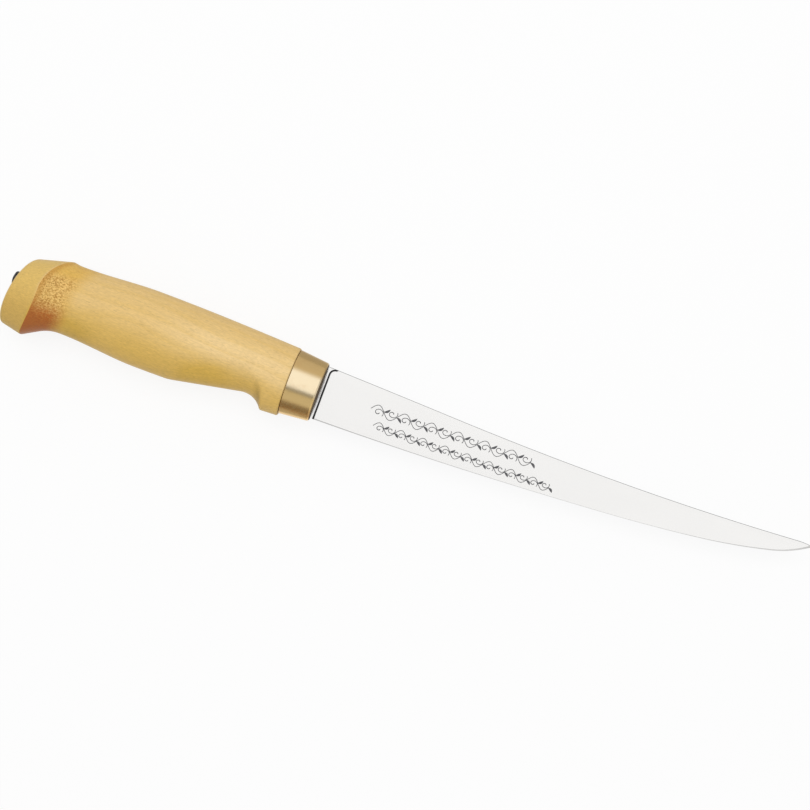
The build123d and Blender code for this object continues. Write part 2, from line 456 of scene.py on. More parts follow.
def groove_radius(back):
    """Behind its peak the scoop runs straight and widens. Ahead of it stands a hollow wall."""
    start = -groove_wall_radius * sin(atan2(groove_rise, 1))
    ahead = groove_peak_back - back
    run = np.maximum(start - ahead, 0)
    wall_ahead = np.clip(ahead, start, groove_wall_reach * groove_wall_radius)
    drop = groove_wall_radius - np.sqrt(groove_wall_radius**2 - wall_ahead**2)
    past = np.maximum(ahead - groove_wall_reach * groove_wall_radius, 0)
    half_height = groove_half_height + drop + past * groove_run_out
    half_width = (
        groove_half_width
        + (wall_ahead - start) * groove_wall_opening
        + run * groove_side_opening
        + past
    )
    centre = groove_half_height - groove_peak_below - groove_rise * run
    return np.where(run < groove_length, oval(half_height, half_height, half_width, centre), np.inf)


def wood_radius(back):
    radius = soft_minimum(grip_radius(back), pommel_radius(back), ridge_softness)
    return soft_minimum(radius, groove_radius(back), groove_softness)


sample = wood_radius(np.full(AROUND, belly_back))
print("belly", round(sample.max(), 2), "mm down and", round(sample.min(), 2), "mm out of the side")

# %% [markdown]
# The ridge runs slantwise round the pommel, so rings that lay square across the handle would cut it
# into small steps. Instead the ridge is found first, in each direction, by halving the stretch that
# it lies in. The rings are then spread between the shoulder and the ridge, and one of them lies on
# the ridge all the way round.

# %% Handle: find the ridge
HALVINGS = 40


def last_place(low, high, test):
    """In each direction, the last place between low and high where a test still holds."""
    for _ in range(HALVINGS):
        middle = (low + high) / 2
        holds = test(middle)
        low, high = np.where(holds, middle, low), np.where(holds, high, middle)
    return low


ridge_back = last_place(
    neck_back, neck_back + cove_reach, lambda back: grip_radius(back) < pommel_radius(back)
)
print("ridge from", round(ridge_back.min(), 1), "to", round(ridge_back.max(), 1), "mm back")

# %% [markdown]
# Behind the ridge the surface has to turn from the sides into the domed butt. There the rings fan
# out from a point inside the pommel. Along each ray the wood ends where a rounded corner between
# the tapered wall and the dome says so, again found by halving.

# %% Handle: the domed butt
fan_back = handle_reach - 6.6
fan_rings = 64
recess_radius = 3.1
dome_centre_back = handle_reach - dome_radius


def across_dome(radius):
    """The square of the distance from the dome's own axis."""
    return (radius * toward_spine + dome_below) ** 2 + (radius * toward_side) ** 2


def dome_back(radius):
    """How far back the dome lies, at a distance from the axis."""
    return dome_centre_back + np.sqrt(dome_radius**2 - across_dome(radius))


def outside_pommel(back, radius):
    """About how far a point lies outside the wall and the dome, with their corner rounded."""
    wall = (radius - pommel_radius(back)) * cos(atan2(pommel_tapers[2], 1))
    dome = np.sqrt((back - dome_centre_back) ** 2 + across_dome(radius)) - dome_radius
    past_wall, past_dome = (np.maximum(side + butt_edge_radius, 0) for side in (wall, dome))
    return np.minimum(np.maximum(wall, dome), -butt_edge_radius) + np.hypot(past_wall, past_dome)


def fan_ring(tilt):
    """The butt's surface along rays that lean back by a tilt from square across."""

    def inside(reach):
        return outside_pommel(fan_back + reach * sin(tilt), reach * cos(tilt)) < 0

    reach = last_place(0, 2 * belly[0], inside)
    return fan_back + reach * sin(tilt), reach * cos(tilt)


print("the dome stands", round(float(dome_back(0).max()), 2), "mm back on the axis")

# %% [markdown]
# Now the rings can be listed in order. They start at the shoulder, run over the belly, the ridge
# and the butt, go down into the washer's recess, and come back through the bore and over the tenon
# inside the ferrule. The loop closes on itself, so the handle is one watertight piece of wood with
# a hole through it, as the real one is.

# %% Handle: the mesh
BODY_RINGS = 225
RIDGE_RINGS = 9
REAR_RINGS = 12
SHOULDER_STEPS = 6
ridge_margin = 1.2
tenon_front = 1.55
tenon_inset = 0.85
ferrule_front = (11.5, 11.2, 8.5)
ferrule_flare = 1.1
bore_end = handle_reach - 12
bore_height, bore_width = 10, 3.2
tail_height, tail_width = 3.4, 1.7
washer_face = handle_reach + washer_proud
washer_seat = washer_face - washer_thickness


def ferrule_oval(back, inset):
    """The ferrule's tapered oval, drawn in by a wall."""
    growth = ferrule_flare * back / ferrule_length - inset
    return oval(*(size + growth for size in ferrule_front))


def handle_rings():
    """Pairs of distance back and distance from the axis, in order round the loop."""
    shoulder_radius = wood_radius(np.full(AROUND, shoulder_back))
    for back, inset in rounded(shoulder_back, shoulder_edge, SHOULDER_STEPS):
        yield back, shoulder_radius - inset
    body_start = shoulder_back + shoulder_edge
    for share in np.linspace(0, 1, BODY_RINGS)[1:]:
        back = body_start + share * (ridge_back - ridge_margin - body_start)
        yield back, wood_radius(back)
    for share in np.linspace(-1, 1, 2 * RIDGE_RINGS + 1)[1:]:
        back = ridge_back + share * abs(share) * ridge_margin
        yield back, wood_radius(back)
    for share in np.linspace(0, 1, REAR_RINGS)[1:-1]:
        back = ridge_back + ridge_margin + share * (fan_back - ridge_back - ridge_margin)
        yield back, wood_radius(back)
    last_tilt = atan2(dome_back(recess_radius).min() - fan_back, recess_radius)
    for share in np.linspace(0, 1, fan_rings, endpoint=False):
        yield fan_ring(share * last_tilt)
    recess = np.full(AROUND, recess_radius)
    yield dome_back(recess_radius), recess
    yield washer_seat, recess
    yield washer_seat, slot(tail_height, tail_width)
    yield bore_end, slot(tail_height, tail_width)
    yield bore_end, slot(bore_height, bore_width)
    yield tenon_front, slot(bore_height, bore_width)
    yield tenon_front, ferrule_oval(tenon_front, tenon_inset)
    yield shoulder_back, ferrule_oval(shoulder_back, tenon_inset)


listed = list(handle_rings())
scooped_depth = 0.8
scooped = [np.clip((grip_radius(back) - radius) / scooped_depth, 0, 1) for back, radius in listed]
handle_mesh = skin("handle_birch", listed, scooped=scooped)

# %% [markdown]
# Birch is pale and even. What shows up close is faint: growth rings that a slanting cut turns into
# long bands, silky fibres along the grain, and short brown pores. The hollow in front of the pommel
# carries painted shade, gold over it, red-brown low down and brown against the ridge, with the
# wood's own brown flecks in it. That follows the shape, so the mesh carries it as a number on each
# point. The rest is written in the object's own coordinates and stays put on the wood.

# %% Handle: where the hollow takes painted shade and flecks
cove_shade_and_fleck_reach = 15
butt_border = 1

points = np.empty(len(handle_mesh.vertices) * 3, np.float32)
handle_mesh.vertices.foreach_get("co", points)
x, y, z = points.reshape(-1, 3).astype(float).T
back, up, out = (front_x - x) / MM, (y - axis.y) / MM, (z - axis.z) / MM
ridge_there = np.interp(np.arctan2(out, up) % (2 * pi), angles, ridge_back, period=2 * pi)
ahead_of_ridge = ridge_there - back
# Nearness to the ridge, for the hollow's painted shade and its flecks
stain = np.clip(1 - ahead_of_ridge / cove_shade_and_fleck_reach, 0, 1) * (ahead_of_ridge > 0)
store(handle_mesh, "stain", stain)
store(handle_mesh, "butt", np.clip(-ahead_of_ridge / butt_border, 0, 1))
print("stained points:", int((stain > 0).sum()), "of", len(back))

# %% [markdown]
# Every finish starts the same way: Blender's all-round surface shader, and the object's coordinates
# in millimetres. Noise takes the size of its grains along, up and out of the knife, so fibres or
# polishing lines are simply long one way and thin the others.

# %% A blank finish
class Finish(Board):
    """A material's board, with its surface shader and the object's coordinates in millimetres."""

    def __init__(self, name, metallic=0.0, **constants):
        self.material = bpy.data.materials.new(name)
        self.material.use_nodes = True
        super().__init__(self.material.node_tree)
        self.shader = self.tree.nodes["Principled BSDF"]
        self.feed(self.shader, Metallic=metallic, **constants)
        coordinates = self.node("ShaderNodeTexCoord").output("Object")
        self.place_mm = self.scaled(coordinates, (1 / MM,) * 3)

    def dress(self, **named):
        """Feeds the surface shader and gives back the material."""
        self.feed(self.shader, **named)
        print(self.material.name, "has", len(self.tree.nodes), "nodes")
        return self.material

    def noise(self, grain, detail, roughness=0.5):
        """Noise with grains of a size in millimetres, along, up and out of the knife."""
        place = self.scaled(self.place_mm, tuple(1 / length for length in grain))
        return self.node(
            "ShaderNodeTexNoise", Vector=place, Scale=1.0, Detail=detail, Roughness=roughness
        )

    def bump(self, strength, distance, height):
        return self.node("ShaderNodeBump", Strength=strength, Distance=distance, Height=height)


# %% [markdown]
# The log's middle lies outside the handle, so the growth rings cross it as wide, wandering bands.
# The wood is cream along the side. Painted shade turns it honey low down and in the groove, darker
# on the groove's front wall and under the neck, and red-brown in front of the ridge.

# %% Birch
pith_up, pith_out, ring_width = 26, -34, 3.1
cream, pale, honey = (0.83, 0.60, 0.285), (0.745, 0.51, 0.20), (0.65, 0.41, 0.075)
# Colours of the painted shade in the hollow in front of the pommel
cove_shade_gold, cove_shade_red, ridge_shade_brown = (0.71, 0.43, 0.075), (0.44, 0.125, 0.014), (0.50, 0.24, 0.04)
dark_fleck, light_fleck = (0.40, 0.21, 0.045), (0.88, 0.58, 0.22)
# The butt's end grain, one colour lit and one in painted shade for its lower side
lit_butt_end, shaded_butt_end = (0.70, 0.47, 0.125), (0.66, 0.425, 0.11)


def make_birch():
    board = Finish("waxed birch", Coat_Roughness=0.38, Specular_IOR_Level=0.3)
    x, y, z = board.parts(board.place_mm)
    up = y - axis.y / MM
    wander = board.noise((60, 16, 16), 2)
    reach_up = up - pith_up + x * 0.05
    reach_out = z - pith_out
    to_pith = (reach_up * reach_up + reach_out * reach_out) ** 0.5
    phase = (to_pith / ring_width + wander * 2.4).math("FRACT")
    late_wood = phase.smooth(0.35, 0.9) * (1 - phase.smooth(0.9, 1.0))

    silk = board.noise((9, 0.35, 0.35), 4, 0.6)
    grain = board.noise((1.6, 0.5, 0.5), 3, 0.65)
    patches = board.noise((30, 11, 11), 2)
    pore_field = board.noise((2.6, 0.22, 0.22), 1)
    pores = pore_field.smooth(0.66, 0.74)

    back = front_x / MM - x
    # Painted shade: honey towards the underside, into the scoop and under the neck, darker on the
    # groove's front wall
    low = up.smooth(4, -10)
    scooped = board.mark("scooped") * back.smooth(66, 52)
    front_wall_shade = scooped * back.smooth(23.5, 19.5)
    shade_under_neck = back.smooth(78, 96) * up.smooth(-2, -12)
    low_shade_share = 0.72 - back.smooth(21, 17) * 0.2 + shade_under_neck * 0.4
    scoop_shade = scooped * (0.36 - back.smooth(38, 29) * 0.22)
    shade_and_patch_gold = (low * low_shade_share + scoop_shade + (patches - 0.5) * 0.5).between(0, 1)
    creamy = back.smooth(72, 40) * up.smooth(10, 5) * up.smooth(-8, -2)
    colour = board.mix(creamy * (0.6 + patches * 0.6), pale, cream)
    colour = board.mix(shade_and_patch_gold, colour, honey)
    colour = board.mix(late_wood * 0.2 + (silk - 0.5) * 0.5, colour, honey)

    stain = board.mark("stain")
    fleck = board.noise((0.66, 0.52, 0.52), 2, 0.5).smooth(0.33, 0.67)
    # Painted shade in the hollow: gold over it, red-brown low down and brown against the ridge; the
    # flecks are the wood's own
    cove_shade = stain.smooth(0.0, 0.55)
    flecked = stain.smooth(0.12, 0.5) * up.smooth(9, 5) * up.smooth(-13, -7)
    low_cove_shade = (cove_shade * up.smooth(-1, -11) * 1.05 + (fleck - 0.5) * cove_shade * -0.3).between(0, 1)
    shade_against_ridge = stain.smooth(0.82, 0.97) * up.smooth(15, 11)
    layers = (
        (cove_shade * 0.8, cove_shade_gold),
        (flecked * (1 - fleck) * 0.84, dark_fleck),
        (flecked * fleck * 0.62, light_fleck),
        (shade_against_ridge * 0.55, ridge_shade_brown),
        (low_cove_shade, cove_shade_red),
        # End grain behind the ridge, darker towards the bottom as painted shade
        (board.mark("butt") * 0.85, board.mix(low, lit_butt_end, shaded_butt_end)),
    )
    for share, layer in layers:
        colour = board.mix(share, colour, layer)
    shade = 1 + (silk - 0.5) * 0.32 + (grain - 0.5) * 0.46 - pores * 0.22
    # Painted shade darkens the groove's front wall and the underside of the neck
    shade = shade - front_wall_shade * 0.32 - shade_under_neck * 0.08
    colour = board.mix(1.0, colour, board.join(shade, shade, shade), "MULTIPLY")
    relief = silk * 0.5 + grain * 0.35 - pores * 0.6
    bump = board.bump(0.16, 0.0002, relief)
    roughness = 0.46 + (grain - 0.5) * 0.2 + pores * 0.15
    coat = 0.12 + (patches - 0.5) * 0.1
    return board.dress(Base_Color=colour, Roughness=roughness, Coat_Weight=coat, Normal=bump)


finish_piece("handle_birch", handle_mesh, "handle", make_birch(), 50)

# %% [markdown]
# The ferrule is a cup pressed from brass sheet. It tapers towards the blade, its front edge is
# round, and its front has a slot that the tang goes through. It is a skin over rings, as the handle
# is: over the outside, round the front edge, in through the slot and back along the inside.

# %% Ferrule
ferrule_edge = 0.9
ferrule_wall = 0.8
ferrule_front_wall = 1.5
slot_height, slot_width = 9.2, 1.7
rear_edge = 0.12
WALL_RINGS = 12
REAR_EDGE_STEPS = 4
FRONT_EDGE_STEPS = 14


def ferrule_rings():
    for back, inset in rounded(ferrule_length, -rear_edge, REAR_EDGE_STEPS):
        yield back, ferrule_oval(ferrule_length, inset)
    for share in np.linspace(0, 1, WALL_RINGS)[1:]:
        back = ferrule_length - rear_edge + share * (ferrule_edge - ferrule_length + rear_edge)
        yield back, ferrule_oval(back, 0)
    for back, inset in rounded(0, ferrule_edge, FRONT_EDGE_STEPS)[-2::-1]:
        yield back, ferrule_oval(ferrule_edge, inset)
    opening = slot(slot_height, slot_width)
    yield 0, opening
    yield ferrule_front_wall, opening
    yield ferrule_front_wall, ferrule_oval(ferrule_front_wall, ferrule_wall)
    yield ferrule_length, ferrule_oval(ferrule_length, ferrule_wall)


ferrule_mesh = skin("ferrule_brass", ferrule_rings())

# %% [markdown]
# Brass colours the light that it mirrors. Its colour also carries painted reflection and shade:
# paler above the axis, darker along the top, a speckled brown band low down, and a painted shade on
# the front face where the blade comes out. Drawing leaves fine lines along the wall, and a cloudy
# tarnish comes and goes.

# %% Brass
# Brass colours; the pale one is a painted highlight, and the shaded, brown and near-black ones
# paint reflection and shade
highlight_brass, warm_brass, shaded_brass = (0.88, 0.735, 0.50), (0.90, 0.635, 0.27), (0.72, 0.47, 0.17)
tarnish_and_band_brown, junction_shade_brown = (0.60, 0.26, 0.06), (0.14, 0.095, 0.05)


def make_brass():
    board = Finish("drawn brass", 1.0)
    x, y, _ = board.parts(board.place_mm)
    cloudy = board.noise((3.5, 3.5, 3.5), 4, 0.6)
    spots = board.noise((0.7, 0.7, 0.7), 3, 0.65)
    drawn = board.noise((5.0, 0.12, 0.12), 3, 0.6)
    up = y - axis.y / MM
    # Painted dark reflection: a speckled brown band low down that stops short of a lighter bottom
    # edge
    low = up.smooth(-5.5, -9) * (1 - up.smooth(-9.4, -10.8) * 0.7)
    speckled = 0.35 + spots.smooth(0.35, 0.6) * 0.4
    tarnish_and_dark_band = (cloudy.smooth(0.5, 0.85) * 0.2 + low * speckled).between(0, 1)
    back = front_x / MM - x
    # Painted shade on the front face, where the blade comes out of the slot
    junction_shade = back.smooth(0.24, 0.0)
    lines = (drawn - 0.5) * back.smooth(0.8, 1.8)
    # Painted reflection: paler above the axis and darker along the top
    colour = board.mix(up.smooth(-1.0, -3.5), highlight_brass, warm_brass)
    colour = board.mix(up.smooth(4.0, 6.5) * 0.85, colour, shaded_brass)
    colour = board.mix(tarnish_and_dark_band, colour, tarnish_and_band_brown)
    colour = board.mix(junction_shade, colour, junction_shade_brown)
    roughness = 0.2 + tarnish_and_dark_band * 0.15 + lines * 0.08 + junction_shade * 0.7
    bump = board.bump(0.06, 0.0001, lines)
    return board.dress(Base_Color=colour, Metallic=1 - junction_shade, Roughness=roughness, Normal=bump)


finish_piece("ferrule_brass", ferrule_mesh, "ferrule", make_brass(), 30)

# %% [markdown]
# The blade's outline is a chain of arcs, each tangent to the one before, because that is how a file
# or a belt leaves a long edge. Python works out each arc's centre and radius once. The height of an
# arc over any place along the blade is then one short expression, and it can be written on wires,
# so that Geometry Nodes can follow the same outline.

# %% Blade: the outline
heel_above, heel_below, tip_above = 10.4, 9.9, 10.9
spine_angle_at_heel = -1.44
spine_shares = ((0.263, 0.857), (0.632, 0.798), (0.968, 1.074))
edge_angle_at_heel = 1.0
edge_shares = ((0.316, 0.789), (0.605, 0.431), (0.789, 0.066), (0.926, -0.434))
tip = (blade_length, tip_above)
spine_places = [(x * blade_length, y * heel_above) for x, y in spine_shares] + [tip]
edge_places = [(x * blade_length, -y * heel_below) for x, y in edge_shares] + [tip]


def outline(x, start, start_angle, places):
    """The height of a chain of tangent arcs over x, which is a wire."""
    height = None
    angle = radians(start_angle)
    for end in places:
        ahead, rise = end[0] - start[0], end[1] - start[1]
        half_turn = atan2(rise, ahead) - angle
        radius = hypot(ahead, rise) / (2 * sin(half_turn))
        centre_x = start[0] - radius * sin(angle)
        centre_y = start[1] + radius * cos(angle)
        from_centre = x - centre_x
        depth = (radius**2 - from_centre * from_centre).math("MAXIMUM", 0) ** 0.5
        arc = centre_y - depth * (1 if radius > 0 else -1)
        height = arc if height is None else height + (arc - height) * (x > start[0])
        print("arc to", round(end[0], 1), "mm, radius", round(abs(radius), 1), "mm")
        angle += 2 * half_turn
        start = end
    return height


# %% [markdown]
# A blade's surface follows a rule all the way: flat ground flanks that thin towards the edge and
# the tip, a narrow bevel that makes the edge, a broken corner along the spine, and at the heel the
# plunge, a small hollow that the grinding wheel leaves where it stops. So the blade is a grid that
# Geometry Nodes bend into shape. One way of the grid runs from heel to tip. The other starts at the
# edge, goes up one flank, over the spine and down the other. The rows are shared out so that one of
# them always lies on the bevel's border, which keeps that line crisp.

# %% Blade: sizes and the frame of a tree
blade_sizes = {
    "Stations": 300,
    "Bevel rows": 2,
    "Flank rows": 36,
    "Spine rows": 8,
    "Length": blade_length,
    "Half thickness": 0.75,
    "Edge land": 0.1,
    "Bevel slope": tan(radians(17)),
    "Flank at axis": 0.428473,
    "Flank rise": 0.0261084,
    "Flank fall": 0.00206871,
    "Ricasso": 0.9,
    "Plunge corner": 2.6,
    "Plunge width": 0.9,
    "Spine break": 0.3,
}


def new_geometry_tree(name, sizes):
    """A node tree with a named input for each size, and the wires of those inputs."""
    tree = bpy.data.node_groups.new(name, "GeometryNodeTree")
    tree.interface.new_socket("Geometry", in_out="OUTPUT", socket_type="NodeSocketGeometry")
    for label, size in sizes.items():
        kind = "NodeSocketInt" if isinstance(size, int) else "NodeSocketFloat"
        tree.interface.new_socket(label, in_out="INPUT", socket_type=kind).default_value = size
    board = Board(tree)
    source = board.node("NodeGroupInput")
    return board, {label: source.output(label) for label in sizes}


def end_tree(board, geometry, material):
    real = board.node("GeometryNodeRealizeInstances", Geometry=geometry)
    painted = board.node("GeometryNodeSetMaterial", Geometry=real, Material=material)
    board.node("NodeGroupOutput", Geometry=painted)
    return board.tree


def in_frame(board, x, up, out):
    """A place in the frame from wires in millimetres ahead of the ferrule's front, up and out."""
    return board.join(x * MM + front_x, up * MM + axis.y, out * MM + axis.z)


def flank_height(x, up, sizes):
    return sizes["Flank at axis"] + up * sizes["Flank rise"] - x * sizes["Flank fall"]


print("flank at the heel's edge", round(flank_height(0, -heel_below, blade_sizes), 3), "mm out")

# %% [markdown]
# The grinding wheel stops just short of the ferrule, and its round rim leaves the plunge: a hollow
# in which the steel climbs from the thin flank to the full thickness of the heel. Seen from the
# side, its line rises from the edge and turns forward below the spine. The marks in the hollow
# later tell the steel's finish where to paint the dark that the hollow mirrors.

# %% Blade: the plunge
def plunge_climb(x, up, ground, size):
    """How far the steel climbs above its ground flank, and how far into the hollow a place is."""
    turn, reach = size["Plunge corner"], size["Plunge width"]
    short_x = (turn - x + size["Ricasso"]).math("MAXIMUM", 0)
    short_up = (turn - heel_above + up).math("MAXIMUM", 0)
    past_turn = (x - size["Ricasso"] - turn).math("MAXIMUM", 0)
    past_plunge = turn - (short_x * short_x + short_up * short_up) ** 0.5 + past_turn
    step = size["Half thickness"] - ground
    wheel = (reach * reach + step * step) / (step * 2)
    to_foot = (reach - past_plunge).math("MAXIMUM", 0).math("MINIMUM", reach)
    hollow = wheel - (wheel * wheel - to_foot * to_foot).math("MAXIMUM", 0) ** 0.5
    into_hollow = ((reach - past_plunge) / reach).math("MAXIMUM", -1).math("MINIMUM", 2)
    return hollow, into_hollow


heel_step = blade_sizes["Half thickness"] - flank_height(0, 0, blade_sizes)
print("at the axis the plunge climbs", round(heel_step, 2), "mm")

# %% [markdown]
# Fields in Geometry Nodes are read where they are used. The marks that the steel's finish needs,
# for the plunge and the spine, are therefore stored before the grid is bent and its places no
# longer tell the rows.

# %% Blade: the node tree
HEEL_STRETCH, TIP_STRETCH = 7, 25
HEEL_SHARE, TIP_SHARE = 0.3, 0.8
ROWS_CROWD_UP = 1.5
BEVEL_LIMIT, CORNER_LIMIT = 0.6, 0.25
TIP_WIDTH = 0.2


def blade_tree(material):
    board, size = new_geometry_tree("ground blade", blade_sizes)
    side_rows = size["Bevel rows"] + size["Flank rows"] + size["Spine rows"]
    row_points = (side_rows + 2) * 2
    counts = {"Vertices X": size["Stations"], "Vertices Y": row_points}
    grid = board.node("GeometryNodeMeshGrid", None, counts, Size_X=1.0, Size_Y=1.0)
    grid_x, grid_y, _ = board.parts(board.node("GeometryNodeInputPosition"))
    station = grid_x + 0.5
    lap = grid_y + 0.5
    first_station = 1 / (size["Stations"] - 1)
    x = (
        station.between(first_station, HEEL_SHARE) * HEEL_STRETCH
        + station.between(HEEL_SHARE, TIP_SHARE) * (size["Length"] - HEEL_STRETCH - TIP_STRETCH)
        + station.between(TIP_SHARE, 1.0) * TIP_STRETCH
    )

    row = (1 - (lap * 2 - 1).math("ABSOLUTE")) * (row_points - 1) / 2 - 1
    past_bevel = row - size["Bevel rows"]
    on_bevel = row.between(0, size["Bevel rows"])
    on_flank = past_bevel.between(0, size["Flank rows"])
    on_spine = (past_bevel - size["Flank rows"]).between(0, size["Spine rows"]) * (pi / 2)

    edge = outline(x, (0, -heel_below), edge_angle_at_heel, edge_places)
    spine = outline(x, (0, heel_above), spine_angle_at_heel, spine_places)
    width = (spine - edge).math("MAXIMUM", 0)
    half_land = size["Edge land"] / 2
    bevel = (flank_height(x, edge, size) - half_land) / (size["Bevel slope"] - size["Flank rise"])
    bevel = bevel.math("MINIMUM", width * BEVEL_LIMIT)
    corner = size["Spine break"].math("MINIMUM", width * CORNER_LIMIT)
    climb = 1 - (1 - on_flank) ** ROWS_CROWD_UP
    up = edge + bevel * on_bevel + (width - bevel - corner) * climb + corner * on_spine.math("SINE")
    bevel_face = half_land + (up - edge) * size["Bevel slope"]
    ground = flank_height(x, up, size).math("MINIMUM", bevel_face)

    hollow, into_hollow = plunge_climb(x, up, ground, size)
    height = (ground + hollow).math("MINIMUM", size["Half thickness"])
    height = height - corner * (1 - on_spine.math("COSINE"))

    side = (lap < 0.5) * 2 - 1
    not_seam = row > -0.5
    not_heel = station > first_station / 2
    not_tip = width.between(0, TIP_WIDTH)
    out = height * side * not_seam * not_heel * not_tip
    for mark, value in (("plunge", into_hollow), ("spine", on_spine / (pi / 2))):
        grid = board.node("GeometryNodeStoreNamedAttribute", Geometry=grid, Name=mark, Value=value)
    places = in_frame(board, x, up, out)
    bent = board.node("GeometryNodeSetPosition", Geometry=grid, Position=places)
    return end_tree(board, bent, material)


rows_up = sum(count for label, count in blade_sizes.items() if label.endswith("rows"))
print("blade grid of", blade_sizes["Stations"], "by", 2 * (rows_up + 2), "points")

# %% [markdown]
# A tree works on an object that carries it as a modifier. The result comes off as a plain mesh, and
# the carrier goes away.

# %% From a tree to a mesh
def grow(name, tree, material):
    """The plain mesh that a tree makes, all of it in one material."""
    carrier = add_object(name, bpy.data.meshes.new(name))
    modifier = carrier.modifiers.new("grown", "NODES")
    modifier.node_group = tree
    for item in tree.interface.items_tree:
        if item.in_out == "INPUT":
            modifier[item.identifier] = item.default_value
    grown = carrier.evaluated_get(bpy.context.evaluated_depsgraph_get())
    mesh = bpy.data.meshes.new_from_object(grown)
    mesh.name = name
    paint(mesh, material)
    bpy.data.objects.remove(carrier)
    print(name, "grew from", len(tree.nodes), "nodes")
    return close_up(mesh)


# %% [markdown]
# Polished stainless steel is almost colourless. What makes it read as steel is what it mirrors, so
# its colour stays plain, with very fine lines along the blade from the last polishing belt and a
# soft cloudiness. The spine keeps a duller finish than the flanks. The hollow of the plunge is
# painted dark, as a painted reflection, and a thin line where the blade leaves the ferrule is
# painted shade. The tang's riveted end at the butt is black, like the washer that it holds.

# %% Steel
# The near-black colour paints the dark that the plunge mirrors and the shade next to the ferrule
dull_steel, painted_dark_steel, black_end = (0.42, 0.42, 0.425), (0.012, 0.012, 0.014), (0.03, 0.029, 0.028)


def make_steel():
    board = Finish("polished steel", 1.0)
    x, _, _ = board.parts(board.place_mm)
    belt = board.noise((40, 0.18, 0.18), 3, 0.6)
    cloud = board.noise((30, 8, 8), 2)
    butt_end = x < (front_x / MM - washer_face + washer_thickness)
    tone = 0.83 + (belt - 0.5) * 0.05 + (cloud - 0.5) * 0.04
    plunge = board.mark("plunge")
    ahead = x - front_x / MM
    # Painted reflection in the plunge's hollow, and painted shade in a thin line next to the
    # ferrule
    painted_plunge_dark = plunge.smooth(0.1, 0.2) * (1 - plunge.smooth(0.84, 0.94))
    shade_at_ferrule = ahead.smooth(0.16, 0.06) * (ahead > -0.05)
    colour = board.join(tone, tone * 0.99, tone * 0.975)
    colour = board.mix(board.mark("spine").smooth(0.1, 0.5), colour, dull_steel)
    colour = board.mix((painted_plunge_dark * 0.97).math("MAXIMUM", shade_at_ferrule * 0.7), colour, painted_dark_steel)
    colour = board.mix(butt_end, colour, black_end)
    roughness = 0.17 + (belt - 0.5) * 0.06 + butt_end * 0.25 + painted_plunge_dark * 0.3
    bump = board.bump(0.03, 0.0001, belt)
    return board.dress(Base_Color=colour, Roughness=roughness, Normal=bump)


steel = make_steel()

# %% [markdown]
# Behind the blade the same steel runs on as the tang, a flat bar that narrows towards the butt.
# There it goes through the washer and is hammered over into a small flat rivet head.

# %% Blade and tang
tang_height, tang_end_height, tang_thickness = 9.0, 3.2, 1.5
tang_end_back = washer_face - 14
rivet_radius, rivet_height, rivet_edge = 1.9, 0.4, 0.15
RIM_STEPS = 5


def tang_rings():
    centre = np.zeros(AROUND)
    end = slot(tang_end_height, tang_thickness)
    head = np.full(AROUND, rivet_radius)
    yield 0, centre
    yield 0, slot(tang_height, tang_thickness)
    yield tang_end_back, end
    yield washer_face, end
    yield washer_face, head
    for back, inset in reversed(rounded(washer_face + rivet_height, -rivet_edge, RIM_STEPS)):
        yield back, head - inset
    yield washer_face + rivet_height, centre


blade_mesh = grow("blade_steel", blade_tree(steel), steel)
tang_mesh = skin("tang", tang_rings(), closed_loop=False)
both = bmesh.new()
both.from_mesh(blade_mesh)
both.from_mesh(tang_mesh)
both.to_mesh(blade_mesh)
print("open edges on the blade:", sum(len(edge.link_faces) != 2 for edge in both.edges))
both.free()
finish_piece("blade_steel", blade_mesh, "blade", steel, 13)

# %% [markdown]
# The washer is a thick disc of blackened steel that stands out of the butt, with a slot for the
# tang. Its rim is broken, and the black has worn thin along it, so a little bare metal shows there.

# %% Washer
washer_radius = round((washer_high.y - washer_low.y) / 2 / MM, 3)
washer_edge = 0.2
blackening, bare_steel = (0.018, 0.018, 0.02), (0.35, 0.34, 0.33)


def washer_rings():
    rim = np.full(AROUND, washer_radius)
    hole = slot(tail_height, tail_width)
    for back, inset in reversed(rounded(washer_face, -washer_edge, RIM_STEPS)):
        yield back, rim - inset
    yield washer_face, hole
    yield washer_seat, hole
    for back, inset in rounded(washer_seat, washer_edge, RIM_STEPS):
        yield back, rim - inset


def make_black():
    board = Finish("blackened steel", 0.6)
    _, y, z = board.parts(board.place_mm)
    from_axis = ((y - axis.y / MM) ** 2 + (z - axis.z / MM) ** 2) ** 0.5
    grit = board.noise((0.25, 0.25, 0.25), 3, 0.65)
    on_rim = from_axis.smooth(washer_radius - washer_edge, washer_radius)
    worn = on_rim * grit.smooth(0.5, 0.7) * 0.6
    colour = board.mix(worn, blackening, bare_steel)
    bump = board.bump(0.2, 0.0001, grit)
    return board.dress(Base_Color=colour, Roughness=0.5 + (grit - 0.5) * 0.3, Normal=bump)


washer_mesh = skin("butt_washer", washer_rings())
finish_piece("butt_washer", washer_mesh, "tang_washer", make_black(), 30)

# %% [markdown]
# The glue is sealed in the handle, and nothing shows of it unless the knife is cut open. Its solid
# from the frame has the right shape, so it stays, with an amber resin on it.

# %% Glue
amber, pale_amber = (0.55, 0.36, 0.13), (0.70, 0.52, 0.25)


def make_resin():
    board = Finish("amber resin", Coat_Weight=0.4)
    cloudy = board.noise((6, 2, 2), 3, 0.6)
    colour = board.mix(cloudy, amber, pale_amber)
    return board.dress(Base_Color=colour, Roughness=0.25 + cloudy * 0.15)


glue = frame["nodes"]["tang_glue"]
glue.data.materials.clear()
glue.data.materials.append(make_resin())
print("glue has", len(glue.data.polygons), "faces")

